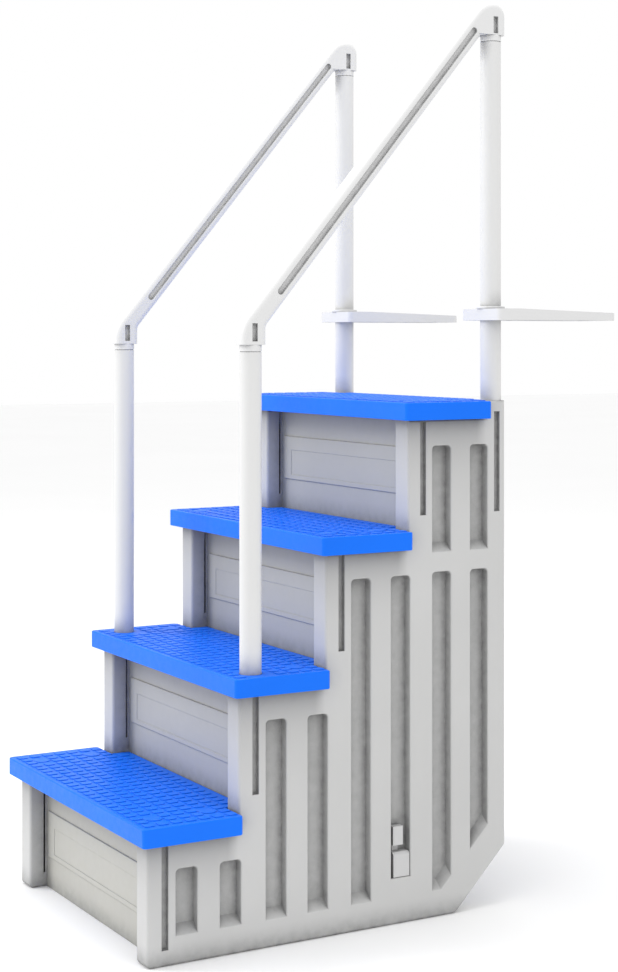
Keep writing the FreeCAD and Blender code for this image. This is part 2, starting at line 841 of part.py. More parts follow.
# ------------------------------------------------------------- posts and connectors
def post(y, foot, shoulder, head, screw_places):
    """Right-hand tube on a narrower foot, drilled where screws bite."""
    bore = post_radius - post_wall
    foot_bore = spigot_radius - spigot_wall
    neck = shoulder + shoulder_height
    body = rod(post_x, y, shoulder, head, post_radius)
    body = body.fuse(rod(post_x, y, foot, shoulder, spigot_radius))
    tools = [
        rod(post_x, y, neck, head + cut_past, bore),
        rod(post_x, y, foot - cut_past, neck, foot_bore),
    ]
    tip = inner_x + rear_screw_reach
    for screw_y, screw_z in screw_places:
        tools.append(cross_rod(inner_x, tip, screw_y, screw_z, riser_screw_radius))
    return cut_all(body, tools).removeSplitter()


def front_post():
    """Front tube: it stands in the second tread, its foot deep in the column below."""
    return post(front_post_y, front_post_foot, tread_under(2), front_post_top, [])


def rear_post():
    """Rear tube: it stands in the top of the last column."""
    shoulder = tread_top(step_count) - rear_post_seat
    return post(rear_post_y, rear_post_foot, shoulder, rear_post_top, rear_screw_places())


def rail_connector(y, post_top, window_lift):
    """Plug that joins a tube to the handrail: spigot, collar and flatted upper spigot."""
    lower = post_radius - post_wall - connector_fit
    upper = rail_width / 2 - rail_wall - 2 * connector_fit
    foot = post_top - connector_length
    under = post_top + neck_height
    head = post_top + connector_head
    body = fuse_all([
        rod(post_x, y, foot, post_top, lower),
        rod(post_x, y, post_top, post_top + joint_height, post_radius - joint_depth),
        rod(post_x, y, post_top + joint_height, under, post_radius),
        rod(post_x, y, under, head, upper),
    ])
    flat_x = rail_outer_x - window_depth - window_wall - flat_gap
    flat_foot = post_top + window_lift - window_wall - flat_gap
    flat_end = rail_outer_x + cut_past
    flat_low = (flat_x, y - rail_width, flat_foot)
    tools = [
        rod(post_x, y, foot - cut_past, post_top - connector_wall, lower - connector_wall),
        rod(post_x, y, foot, head + cut_past, upper_bore_radius),
        on_both_faces(block(flat_low, (flat_end, y + rail_width, head + cut_past))),
    ]
    return cut_all(body, tools)


# ------------------------------------------------------------------------ handrails
def rail_line(y, offset):
    """Height of the rail's sloping centre line, moved square to itself by an offset."""
    run = rear_post_y - front_post_y
    rise = rail_high_height - rail_low_height
    slope = rise / run
    return rail_low_height + (y - front_post_y) * slope + offset * math.hypot(run, rise) / run


def rail_line_y(z, offset):
    """Distance along Y at which that line reaches a height."""
    run = rear_post_y - front_post_y
    rise = rail_high_height - rail_low_height
    return front_post_y + (z - rail_line(front_post_y, offset)) * run / rise


def rail_blank(inset):
    """Side outline of the handrail carried across its width, moved in by a wall."""
    cap = rail_cap_depth / 2 - inset
    half = rail_depth / 2 - inset
    low = front_post_top + neck_height + inset
    high = rear_post_top + neck_height + inset
    crown = rail_top_height - inset
    points = [
        (front_post_y - cap, low),
        (front_post_y - cap, rail_line(front_post_y - cap, half)),
        (rail_line_y(crown, half), crown),
        (rear_post_y + cap, crown),
        (rear_post_y + cap, high),
        (rail_line_y(high, -half), high),
        (front_post_y + cap, rail_line(front_post_y + cap, -half)),
        (front_post_y + cap, low),
    ]
    front_bend = rail_front_bend - inset
    crown_bend = rail_crown_bend - inset
    back_bend = rail_back_bend - inset
    inner_bend = rail_inner_bend + inset
    radii = (0.0, front_bend, crown_bend, back_bend, 0.0, 0.0, inner_bend, 0.0)
    x0 = post_x - rail_width / 2 + inset
    wire = rounded_outline(points, radii, x0)
    return Part.Face(wire).extrude(FreeCAD.Vector(rail_width - 2 * inset, 0, 0))


def rounded_rail(inset, radius):
    """The blank with its long edges rounded; the flat undersides of its ends stay square."""
    solid = rail_blank(inset)
    edges = []
    for edge in solid.Edges:
        box = edge.BoundBox
        flat_under = box.ZLength < 1e-6 and box.ZMax < rail_top_height - rail_back_bend
        if box.XLength < 1e-6 and not flat_under:
            edges.append(edge)
    return solid.makeFillet(radius, edges)


def on_both_faces(tool):
    """A tool for the rail's outer face together with its twin on the inner face."""
    twin = tool.mirror(FreeCAD.Vector(post_x, 0, 0), FreeCAD.Vector(1, 0, 0))
    return Part.makeCompound([tool, twin])


def rail_channel(half, depth):
    """Round-ended grooves along the rail's two faces, of a half width and a depth."""
    y0 = front_post_y + rail_groove_margin
    y1 = rear_post_y - rail_groove_margin
    z0 = rail_line(y0, 0.0)
    z1 = rail_line(y1, 0.0)
    length = math.hypot(y1 - y0, z1 - z0)
    off_y = -(z1 - z0) / length * half
    off_z = (y1 - y0) / length * half
    corners = [
        (y0 + off_y, z0 + off_z),
        (y1 + off_y, z1 + off_z),
        (y1 - off_y, z1 - off_z),
        (y0 - off_y, z0 - off_z),
    ]
    floor_x = rail_outer_x - depth
    past = rail_outer_x + cut_past
    return on_both_faces(fuse_all([
        slab_yz(corners, floor_x, past),
        cross_rod(floor_x, past, y0, z0, half),
        cross_rod(floor_x, past, y1, z1, half),
    ]))


def rail_pocket(y, window_foot, depth, margin):
    """Blocks for the pockets in a rail end, grown by a margin on their four sides."""
    middle = y - window_shift
    half = window_width / 2 + margin
    foot = window_foot - margin
    head = window_foot + window_height + margin
    low = (rail_outer_x - depth, middle - half, foot)
    return on_both_faces(block(low, (rail_outer_x + cut_past, middle + half, head)))


def handrail():
    """Right handrail: a hollow moulded bar whose two ends turn down over the posts."""
    socket = rail_width / 2 - rail_wall
    groove_half = rail_groove_width / 2
    kept = [rail_channel(groove_half + rail_wall, rail_groove_depth + rail_wall)]
    tools = [rail_channel(groove_half, rail_groove_depth)]
    ends = zip((front_post_y, rear_post_y), (front_post_top, rear_post_top), window_lifts)
    for y, post_top, lift in ends:
        under = post_top + neck_height
        window_foot = post_top + lift
        kept.append(rail_pocket(y, window_foot, window_depth + window_wall, window_wall))
        tools.append(rail_pocket(y, window_foot, window_depth, 0.0))
        tools.append(rod(post_x, y, under - cut_past, under + rail_wall + cut_past, socket))
    hollow = rounded_rail(rail_wall, rail_edge_radius - rail_wall)
    tools.append(cut_all(hollow, kept))
    return cut_all(rounded_rail(0.0, rail_edge_radius), tools)


# --------------------------------------------------------------------- deck flanges
def deck_hole_places():
    """Screw holes of the right flange: (x, y)."""
    first = rear_post_y + deck_hole_start
    half = deck_hole_spacing_x / 2
    return [(post_x + sx, y) for sx in (-half, half) for y in (first, first + deck_hole_spacing_y)]


def deck_flange():
    """Right deck plate: a ribbed tray round the bushing, thinner towards its back edge."""
    y0 = rear_post_y - plate_front
    y1 = rear_post_y + plate_back
    z0 = plate_underside
    z1 = plate_underside + plate_height
    x0 = post_x - plate_width / 2
    x1 = post_x + plate_width / 2
    taper_start = rear_post_y + plate_front
    back_top = z0 + plate_back_height
    side_profile = [
        (y0, z0),
        (y0, z1),
        (taper_start, z1),
        (y1 - plate_back_bevel, back_top),
        (y1, back_top - plate_back_bevel),
        (y1, z0 + plate_foot_bevel),
        (y1 - plate_foot_bevel, z0),
    ]
    plan = block((x0, y0, z0 - cut_past), (x1, y1, z1 + cut_past))
    plan = plan.makeFillet(plate_front_radius, upright_edges(plan, lambda p: p.y < taper_start))
    plan = plan.makeFillet(plate_back_radius, upright_edges(plan, lambda p: p.y > taper_start))
    body = slab_yz(side_profile, x0, x1).common(plan)

    pocket_back = y1 - plate_back_solid
    pocket_profile = [
        (y0 + plate_skin, z0 - cut_past),
        (y0 + plate_skin, z1 - plate_skin),
        (taper_start, z1 - plate_skin),
        (pocket_back, back_top - plate_skin),
        (pocket_back, z0 - cut_past),
    ]
    pocket = slab_yz(pocket_profile, x0 + plate_skin, x1 - plate_skin)
    half_rib = plate_rib / 2
    kept = [rod(post_x, rear_post_y, z0, z1, bush_lip_radius + 2 * plate_skin)]
    for k in (-1, 0, 1):
        x = post_x + k * plate_width / 4
        kept.append(mid_block(x, half_rib, rear_post_y, y1, z0, z1))
    for place in plate_rib_places:
        y = rear_post_y + place
        kept.append(block((x0, y - half_rib, z0), (x1, y + half_rib, z1)))
    tools = []
    for x, y in deck_hole_places():
        kept.append(rod(x, y, z0, z1, deck_hole_radius + plate_skin))
        tools.append(rod(x, y, z0 - cut_past, z1 + cut_past, deck_hole_radius))
    bore = post_radius + bush_post_clearance + bush_wall + bush_plate_clearance
    seat = z0 + bush_lip_height + bush_gap
    tools.append(cut_all(pocket, kept))
    tools.append(rod(post_x, rear_post_y, z0 - cut_past, z1 + cut_past, bore))
    tools.append(rod(post_x, rear_post_y, z0 - cut_past, seat, bush_lip_radius + bush_gap))
    return cut_all(body, tools)


def flange_bushing():
    """Sleeve that slides on the rear post and turns in the plate, with a collar on top."""
    inner = post_radius + bush_post_clearance
    foot = plate_underside
    seat = plate_underside + plate_height + bush_gap
    top = seat + bush_collar_height
    sleeve = rod(post_x, rear_post_y, foot, seat, inner + bush_wall)
    lip = rod(post_x, rear_post_y, foot, foot + bush_lip_height, bush_lip_radius)
    collar = rod(post_x, rear_post_y, seat, top, bush_collar_radius)
    rim = [e for e in collar.Edges if e.BoundBox.ZMin > top - 1e-6]
    collar = collar.makeFillet(bush_collar_edge, rim)
    body = fuse_all([sleeve, lip, collar])
    return body.cut(rod(post_x, rear_post_y, foot - cut_past, top + cut_past, inner))


# ------------------------------------------------------------------------- assembly
def build():
    """Every node by name."""
    nodes = {}
    for i in range(1, step_count + 1):
        nodes["tread_%d" % i] = tread(i)
        nodes["riser_%d" % i] = riser(i)
    handed = {
        "side_panel": side_panel(),
        "brace_latch": brace_latch(),
        "front_post": front_post(),
        "rear_post": rear_post(),
        "front_rail_connector": rail_connector(front_post_y, front_post_top, window_lifts[0]),
        "rear_rail_connector": rail_connector(rear_post_y, rear_post_top, window_lifts[1]),
        "handrail": handrail(),
        "deck_flange": deck_flange(),
        "flange_bushing": flange_bushing(),
    }
    for name, shape in handed.items():
        nodes[name + "_right"] = shape
        nodes[name + "_left"] = mirrored(shape)
    nodes["lower_cross_brace"] = lower_cross_brace()
    nodes["screw_caps"] = screw_caps()
    nodes["tread_screws"] = tread_screws()
    nodes["riser_screws"] = riser_screws()
    nodes["rear_post_screws"] = rear_post_screws()
    return nodes


os.makedirs("parts", exist_ok=True)
for node_name, node_shape in build().items():
    node_shape.exportStep("parts/" + node_name + ".step")
    box = node_shape.BoundBox
    print("%-28s solids %2d  valid %s  %8.1f cm3  x %.0f..%.0f y %.0f..%.0f z %.0f..%.0f" % (
        node_name, len(node_shape.Solids), node_shape.isValid(), node_shape.Volume / 1000,
        box.XMin, box.XMax, box.YMin, box.YMax, box.ZMin, box.ZMax))
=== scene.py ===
"""In-pool ladder: two stepped side panels, four blue treads, two handrails, two deck flanges.

Metres. X runs across the steps, Y from the lowest step towards the pool wall, Z up.
The sections follow the order in which the ladder is put together.
"""
import math

import bmesh
import bpy
from mathutils import Matrix, Vector


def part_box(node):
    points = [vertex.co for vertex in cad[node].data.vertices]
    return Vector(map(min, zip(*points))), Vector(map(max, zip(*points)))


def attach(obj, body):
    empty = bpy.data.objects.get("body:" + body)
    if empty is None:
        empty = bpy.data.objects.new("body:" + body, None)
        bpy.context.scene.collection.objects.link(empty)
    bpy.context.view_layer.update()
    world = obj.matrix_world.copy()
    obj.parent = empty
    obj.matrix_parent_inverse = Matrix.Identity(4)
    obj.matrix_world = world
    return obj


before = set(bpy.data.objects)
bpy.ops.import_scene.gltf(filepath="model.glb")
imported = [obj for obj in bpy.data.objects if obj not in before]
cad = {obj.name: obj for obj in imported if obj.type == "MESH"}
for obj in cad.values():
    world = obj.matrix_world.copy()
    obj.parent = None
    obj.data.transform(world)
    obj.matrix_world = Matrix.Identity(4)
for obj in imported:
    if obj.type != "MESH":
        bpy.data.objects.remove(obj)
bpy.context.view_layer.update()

# ------------------------------------------------------------------------ side panels
# Two hollow stepped mouldings of grey-white polyethylene, blown in one piece each.
# Their recesses stiffen the wall. Their corners are painted darker as shade, and each bay is
# painted greyest close under its tread, where the tread's shadow falls.
PANEL_GREY = (0.54, 0.54, 0.535, 1.0)
# The darker colour is painted shade, for corners and close under the treads.
PANEL_SHADE = (0.19, 0.19, 0.19, 1.0)
FIRST_COLUMN = -0.594       # just in front of the first column
FIRST_UNDERSIDE = 0.260     # underside of the first tread
STEP_RUN = 0.215
STEP_RISE = 0.290
SHADE_DEPTH = 0.060          # the painted shade under a tread thins to a third over this height
SHADE_END = 0.88             # and out to nothing over the last part of the bay
CLOUD_SCALE = 3.5           # of the mottling, ripple, specks and grain, in cells a metre
RIPPLE_SCALE = 14.0
SPECK_SCALE = 55.0
GRAIN_SCALE = 900.0
RIPPLE_HEIGHT = 0.0012
SHUT_IN = 0.40              # share of open sky at which a corner gets its darkest painted shade
OPEN = 0.98                 # and at which it gets no painted shade
# how far the most shut-in corners are painted towards the shade colour
DARKEST_SHADE = 0.90
SHARP_TURN = 0.80           # how far a softened edge turns from its face where it is palest
NO_TURN = 0.995
MIDDLE = (0.3, 0.7)         # range of a noise that is stretched into a tone


def node(tree, kind, inputs=None, **settings):
    """Adds a node, sets its options, and sets or links its inputs."""
    made = tree.nodes.new(kind)
    for key, value in settings.items():
        setattr(made, key, value)
    for key, value in (inputs or {}).items():
        if isinstance(value, bpy.types.NodeSocket):
            tree.links.new(value, made.inputs[key])
        else:
            made.inputs[key].default_value = value
    return made


def mix_colour(tree, amount, first, second):
    """One colour turning into another by an amount from 0 to 1."""
    mixed = node(tree, "ShaderNodeMix", {0: amount, 6: first, 7: second}, data_type="RGBA")
    return mixed.outputs[2]


def spread(tree, value, low, high, to_low, to_high):
    """Stretches a value from one range to another, and clamps it."""
    inputs = {
        "Value": value, "From Min": low, "From Max": high, "To Min": to_low, "To Max": to_high}
    return node(tree, "ShaderNodeMapRange", inputs).outputs["Result"]


def calc(tree, operation, first, second=0.0, third=0.0):
    """One sum in a tree."""
    inputs = {0: first, 1: second, 2: third}
    return node(tree, "ShaderNodeMath", inputs, operation=operation).outputs[0]


def painted_shade_under_treads(tree, place, amount):
    """Painted shade under each bay's tread: full right under it, fading downwards."""
    spot = node(tree, "ShaderNodeSeparateXYZ", {0: place})
    runs = calc(tree, "DIVIDE", calc(tree, "SUBTRACT", spot.outputs[1], FIRST_COLUMN), STEP_RUN)
    bay = calc(tree, "FLOOR", runs)
    shade_strength = spread(tree, calc(tree, "SUBTRACT", runs, bay), SHADE_END, 1.0, amount, 0.0)
    underside = calc(tree, "MULTIPLY_ADD", bay, STEP_RISE, FIRST_UNDERSIDE)
    below = calc(tree, "MAXIMUM", calc(tree, "SUBTRACT", underside, spot.outputs[2]), 0.0)
    fade = calc(tree, "EXPONENT", calc(tree, "DIVIDE", below, -SHADE_DEPTH))
    return calc(tree, "SUBTRACT", 1.0, calc(tree, "MULTIPLY", fade, shade_strength))


def moulded_plastic(name, colour, shade_colour, roughness, mottle=0.03, grain=0.00012,
                    edge_radius=0.0012, crevice=0.030, rub=0.25, gloss=0.45, under_tread_shade=0.0):
    """Moulded plastic: soft mottling, fine grain, painted shade darkening its crevices, edges rubbed
    pale.
    """
    material = bpy.data.materials.new(name)
    material.use_nodes = True
    tree = material.node_tree
    tree.nodes.clear()
    place = node(tree, "ShaderNodeTexCoord").outputs["Object"]
    cloud = node(tree, "ShaderNodeTexNoise", {"Vector": place, "Scale": CLOUD_SCALE, "Detail": 5.0})
    speck = node(tree, "ShaderNodeTexNoise", {"Vector": place, "Scale": SPECK_SCALE, "Detail": 3.0})
    fine = node(tree, "ShaderNodeTexNoise", {"Vector": place, "Scale": GRAIN_SCALE, "Detail": 2.0})
    ripple = node(tree, "ShaderNodeTexNoise", {"Vector": place, "Scale": RIPPLE_SCALE, "Detail": 1.0})

    tone = spread(tree, cloud.outputs["Fac"], *MIDDLE, 1.0 - mottle, 1.0 + mottle)
    # Painted shade under each tread, darkening the tone.
    if under_tread_shade:
        tone = calc(tree, "MULTIPLY", tone, painted_shade_under_treads(tree, place, under_tread_shade))
    base = node(tree, "ShaderNodeVectorMath", {0: colour[:3], "Scale": tone}, operation="SCALE")
    # Painted shade: corners that see little open sky are darkened towards the shade colour, unevenly by
    # the specks.
    shut_in = node(tree, "ShaderNodeAmbientOcclusion", {"Distance": crevice}, samples=8)
    crevice_shade = spread(tree, shut_in.outputs["AO"], SHUT_IN, OPEN, DARKEST_SHADE, 0.0)
    patches = spread(tree, speck.outputs["Fac"], *MIDDLE, 0.7, 1.1)
    speckled = node(tree, "ShaderNodeMath", {0: crevice_shade, 1: patches}, operation="MULTIPLY", use_clamp=True)
    shaded_colour = mix_colour(tree, speckled.outputs[0], base.outputs[0], shade_colour)

    rounded = node(tree, "ShaderNodeBevel", {"Radius": edge_radius}, samples=4)
    flat = node(tree, "ShaderNodeNewGeometry").outputs["Normal"]
    turn = node(tree, "ShaderNodeVectorMath", {0: rounded.outputs[0], 1: flat}, operation="DOT_PRODUCT")
    edge = spread(tree, turn.outputs["Value"], SHARP_TURN, NO_TURN, rub, 0.0)
    pale = tuple(0.5 + 0.5 * part for part in colour[:3]) + (1.0,)
    worn = mix_colour(tree, edge, shaded_colour, pale)

    rough = spread(tree, speck.outputs["Fac"], 0.25, 0.75, roughness - 0.06, roughness + 0.08)
    bump = node(tree, "ShaderNodeBump", {
        "Height": fine.outputs["Fac"], "Strength": 1.0, "Distance": grain,
        "Normal": rounded.outputs[0]})
    wave = node(tree, "ShaderNodeBump", {
        "Height": ripple.outputs["Fac"], "Strength": 0.35, "Distance": RIPPLE_HEIGHT,
        "Normal": bump.outputs[0]})
    shader = node(tree, "ShaderNodeBsdfPrincipled", {
        "Base Color": worn, "Roughness": rough, "Normal": wave.outputs[0],
        "Specular IOR Level": gloss})
    node(tree, "ShaderNodeOutputMaterial", {"Surface": shader.outputs[0]})
    return material


def finish_nodes(material, *names):
    """Gives CAD nodes a material."""
    for name in names:
        cad[name].data.materials.clear()
        cad[name].data.materials.append(material)


def both(*stems):
    """The left and right node of each stem."""
    return [stem + side for stem in stems for side in ("_left", "_right")]


panel_plastic = moulded_plastic(
    "panel_plastic", PANEL_GREY, PANEL_SHADE, 0.48, crevice=0.050, under_tread_shade=0.48)
finish_nodes(panel_plastic, *both("side_panel"))

# ----------------------------------------------------------------------------- risers
# Injection-moulded closing panels between the columns, a touch smoother than the sides.
# Each is a tray with a raised band, screwed to the columns from behind.
RISER_GREY = (0.46, 0.455, 0.42, 1.0)
# The darker colour is painted shade, for corners and close under the treads.
RISER_SHADE = (0.22, 0.22, 0.21, 1.0)

riser_plastic = moulded_plastic(
    "riser_plastic", RISER_GREY, RISER_SHADE, 0.45, mottle=0.02, grain=0.00008, crevice=0.045,
    under_tread_shade=0.40)
finish_nodes(riser_plastic, "riser_1", "riser_2", "riser_3", "riser_4")

# --------------------------------------------------------------- lower brace, latches
# A moulded channel whose ends come through both panels, held up there by two wedge keys.
BRACE_GREY = (0.56, 0.56, 0.56, 1.0)

# The brace's corners are painted darker with the panels' shade colour.
brace_plastic = moulded_plastic("brace_plastic", BRACE_GREY, PANEL_SHADE, 0.42, crevice=0.012)
finish_nodes(brace_plastic, "lower_cross_brace", *both("brace_latch"))

# ----------------------------------------------------------------------------- treads
# Blue polypropylene trays with ears over the side panels, screwed down through the ears.
# The top is a field of raised grip tiles in straight rows, inside a plain rim.
TREAD_BLUE = (0.003, 0.160, 0.88, 1.0)
# The deeper blue is painted shade, for corners and close to the risers.
TREAD_SHADE = (0.002, 0.075, 0.50, 1.0)
TILE_WIDTH = 0.0233         # across the steps
TILE_LENGTH = 0.0240        # front to back
TILE_HEIGHT = 0.0020
TILE_SUNK = 0.0003          # foot of a tile below the tread's top
TILE_CORNER = 0.0036        # cut off each corner of a tile
TILE_EDGE = ((0.0003, 0.0014), (0.0008, 0.0018))    # inset and height on the way up its edge
TILE_HEAD_INSET = 0.0016
PITCH_ACROSS = 0.0313
PITCH_ALONG = 0.0322
ROW_COUNT = 8
ROW_HALF = 12               # tiles in a row, on each side of the middle
FIRST_ROW = 0.0243          # behind the tread's front edge
EAR_DEPTH = 0.234           # the ears end here, the middle part runs on between the columns
WAIST_HALF = 0.302
CAP_X = 0.313               # middle of a screw cap
CAP_SETBACKS = (0.0565, 0.1855)     # behind the tread's front edge
CAP_CLEAR = 0.0203          # no tile comes nearer than this to a cap's middle
POST_X = 0.332
POST_SETBACK = 0.065
POST_CLEAR = 0.0270

tread_plastic = moulded_plastic(
    "tread_plastic", TREAD_BLUE, TREAD_SHADE, 0.42, mottle=0.05, crevice=0.010, rub=0.10,
    gloss=0.16, edge_radius=0.0008)
finish_nodes(tread_plastic, "tread_1", "tread_2", "tread_3", "tread_4", "screw_caps")


def ring_of(half_x, half_y, corner, z):
    """Eight-cornered outline of a tile at one height."""
    points = [
        (half_x, -half_y + corner), (half_x, half_y - corner),
        (half_x - corner, half_y), (-half_x + corner, half_y),
        (-half_x, half_y - corner), (-half_x, -half_y + corner),
        (-half_x + corner, -half_y), (half_x - corner, -half_y)]
    return [(x, y, z) for x, y in points]


def stacked_mesh(name, rings):
    """Closed shape through rings of points, from the foot to the head."""
    shape = bmesh.new()
    rows = [[shape.verts.new(p) for p in ring] for ring in rings]
    for lower, upper in zip(rows, rows[1:]):
        for k in range(len(lower)):
            after = (k + 1) % len(lower)
            shape.faces.new((lower[k], lower[after], upper[after], upper[k]))
    shape.faces.new(rows[-1])
    shape.faces.new(list(reversed(rows[0])))
    mesh = bpy.data.meshes.new(name)
    shape.to_mesh(mesh)
    shape.free()
    return mesh


tile_rings = []
for inset, height in ((0.0, -TILE_SUNK), *TILE_EDGE, (TILE_HEAD_INSET, TILE_HEIGHT)):
    half_x = TILE_WIDTH / 2 - inset
    half_y = TILE_LENGTH / 2 - inset
    tile_rings.append(ring_of(half_x, half_y, TILE_CORNER - inset, height))
tile = bpy.data.objects.new("grip_tile", stacked_mesh("grip_tile", tile_rings))


def new_tree(name, numbers, things):
    """Geometry tree with named number inputs, object inputs, a material input and one output."""
    tree = bpy.data.node_groups.new(name, "GeometryNodeTree")
    for label in numbers:
        tree.interface.new_socket(label, in_out="INPUT", socket_type="NodeSocketFloat")
    for label in things:
        tree.interface.new_socket(label, in_out="INPUT", socket_type="NodeSocketObject")
    tree.interface.new_socket("Finish", in_out="INPUT", socket_type="NodeSocketMaterial")
    tree.interface.new_socket("Geometry", in_out="OUTPUT", socket_type="NodeSocketGeometry")
    given = tree.nodes.new("NodeGroupInput")
    return tree, {socket.name: socket for socket in given.outputs if socket.name}


def close_tree(tree, geometry, finish):
    """Realizes the instances, gives them their finish and ends the tree."""
    real = node(tree, "GeometryNodeRealizeInstances", {"Geometry": geometry})
    done = node(tree, "GeometryNodeSetMaterial", {"Geometry": real.outputs[0], "Material": finish})
    node(tree, "NodeGroupOutput", {"Geometry": done.outputs[0]})


def grown(name, tree, values, place):
    """Runs a tree with the given inputs, and keeps the result as a plain mesh at its place."""
    seed = bpy.data.objects.new(name + "_seed", bpy.data.meshes.new(name + "_seed"))
    bpy.context.scene.collection.objects.link(seed)
    modifier = seed.modifiers.new("grow", "NODES")
    modifier.node_group = tree
    for item in tree.interface.items_tree:
        if item.in_out == "INPUT" and item.name in values:
            modifier[item.identifier] = values[item.name]
    graph = bpy.context.evaluated_depsgraph_get()
    mesh = bpy.data.meshes.new_from_object(seed.evaluated_get(graph))
    seed.modifiers.remove(modifier)
    bpy.data.objects.remove(seed)
    mesh.transform(place)
    mesh.name = name
    piece = bpy.data.objects.new(name, mesh)
    bpy.context.scene.collection.objects.link(piece)
    return piece


def gap_to(tree, here, there, half):
    """Distance from a place to the near side of a tile, along one axis."""
    apart = calc(tree, "ABSOLUTE", calc(tree, "SUBTRACT", here, there))
    return calc(tree, "MAXIMUM", calc(tree, "SUBTRACT", apart, half), 0.0)


def near_disc(tree, side, back, given, label):
    """Whether a tile comes too close to a round thing given by its place and clear radius."""
    gap_x = gap_to(tree, side, given[label + " x"], TILE_WIDTH / 2)
    gap_y = gap_to(tree, back, given[label + " y"], TILE_LENGTH / 2)
    square = calc(tree, "MULTIPLY_ADD", gap_x, gap_x, calc(tree, "MULTIPLY", gap_y, gap_y))
    return calc(tree, "LESS_THAN", calc(tree, "SQRT", square), given[label + " clear"])


def grip_tree():
    """Rows of tiles on a tread's outline, left out round the caps and the post."""
    labels = ["Columns", "Rows", "Pitch across", "Pitch along", "Ear depth", "Waist"]
    for label in ("Front", "Rear"):
        labels += [label + " x", label + " y", label + " clear"]
    tree, given = new_tree("grip_field", labels, ["Tile"])
    span_x = calc(tree, "MULTIPLY", calc(tree, "SUBTRACT", given["Columns"], 1.0), given["Pitch across"])
    span_y = calc(tree, "MULTIPLY", calc(tree, "SUBTRACT", given["Rows"], 1.0), given["Pitch along"])
    grid = node(tree, "GeometryNodeMeshGrid", {
        "Size X": span_x, "Size Y": span_y,
        "Vertices X": given["Columns"], "Vertices Y": given["Rows"]})
    middle_row = calc(tree, "MULTIPLY_ADD", span_y, 0.5, FIRST_ROW)
    offset = node(tree, "ShaderNodeCombineXYZ", {1: middle_row})
    moved = node(tree, "GeometryNodeSetPosition", {
        "Geometry": grid.outputs[0], "Offset": offset.outputs[0]})

    here = node(tree, "ShaderNodeSeparateXYZ", {0: node(tree, "GeometryNodeInputPosition").outputs[0]})
    side = calc(tree, "ABSOLUTE", here.outputs[0])
    back = here.outputs[1]
    outer_side = calc(tree, "ADD", side, TILE_WIDTH / 2)
    rear_side = calc(tree, "ADD", back, TILE_LENGTH / 2)
    off_waist = calc(tree, "GREATER_THAN", outer_side, given["Waist"])
    off_ear = calc(tree, "GREATER_THAN", rear_side, given["Ear depth"])
    outside = calc(tree, "MULTIPLY", off_waist, off_ear)
    for label in ("Front", "Rear"):
        outside = calc(tree, "MAXIMUM", outside, near_disc(tree, side, back, given, label))
    kept = node(tree, "GeometryNodeDeleteGeometry", {
        "Geometry": moved.outputs[0], "Selection": outside})
    shape = node(tree, "GeometryNodeObjectInfo", {"Object": given["Tile"]})
    tiles = node(tree, "GeometryNodeInstanceOnPoints", {
        "Points": kept.outputs[0], "Instance": shape.outputs["Geometry"]})
    close_tree(tree, tiles.outputs[0], given["Finish"])
    return tree


grip = grip_tree()
for step in (1, 2, 3, 4):
    low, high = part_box("tread_%d" % step)
    front_disc = (CAP_X, CAP_SETBACKS[0], CAP_CLEAR)
    if step == 2:
        front_disc = (POST_X, POST_SETBACK, POST_CLEAR)
    values = {
        "Columns": 2.0 * ROW_HALF, "Rows": float(ROW_COUNT),
        "Pitch across": PITCH_ACROSS, "Pitch along": PITCH_ALONG,
        "Ear depth": EAR_DEPTH, "Waist": WAIST_HALF,
        "Front x": front_disc[0], "Front y": front_disc[1], "Front clear": front_disc[2],
        "Rear x": CAP_X, "Rear y": CAP_SETBACKS[1], "Rear clear": CAP_CLEAR,
        "Tile": tile, "Finish": tread_plastic}
    field = grown("grip_field_%d" % step, grip, values, Matrix.Translation((0.0, low.y, high.z)))
    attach(field, "ladder")
bpy.data.objects.remove(tile)

# ----------------------------------------------------------------------------- screws
# Stainless screws: under the caps, and sideways into the columns from behind the risers.
STEEL = (0.56, 0.57, 0.58, 1.0)
TURNING_SCALE = 1400.0      # of the turning marks, in cells a metre
TURNING_DEPTH = 0.00005
PATCH_SCALE = 90.0


def brushed_steel(name, colour, roughness):
    """Stainless steel with turning marks and a dull patch here and there."""
    material = bpy.data.materials.new(name)
    material.use_nodes = True
    tree = material.node_tree
    tree.nodes.clear()
    place = node(tree, "ShaderNodeTexCoord").outputs["Object"]
    marks = node(tree, "ShaderNodeTexNoise", {"Vector": place, "Scale": TURNING_SCALE, "Detail": 2.0})
    patch = node(tree, "ShaderNodeTexNoise", {"Vector": place, "Scale": PATCH_SCALE, "Detail": 2.0})
    tone = spread(tree, patch.outputs["Fac"], *MIDDLE, 0.85, 1.08)
    base = node(tree, "ShaderNodeVectorMath", {0: colour[:3], "Scale": tone}, operation="SCALE")
    rough = spread(tree, patch.outputs["Fac"], *MIDDLE, roughness, roughness + 0.15)
    bump = node(tree, "ShaderNodeBump", {
        "Height": marks.outputs["Fac"], "Strength": 0.4, "Distance": TURNING_DEPTH})
    shader = node(tree, "ShaderNodeBsdfPrincipled", {
        "Base Color": base.outputs[0], "Roughness": rough, "Metallic": 1.0,
        "Normal": bump.outputs[0]})
    node(tree, "ShaderNodeOutputMaterial", {"Surface": shader.outputs[0]})
    return material


stainless = brushed_steel("stainless", STEEL, 0.28)
finish_nodes(stainless, "tread_screws", "riser_screws", "rear_post_screws")

# ------------------------------------------------------------------------------ posts
# Four lengths of 48 mm tube, powder-coated white, set down into the columns.
POST_WHITE = (0.68, 0.68, 0.675, 1.0)
# The darker colour is painted shade, for corners such as under the flanges and rail ends.
POST_SHADE = (0.30, 0.30, 0.30, 1.0)

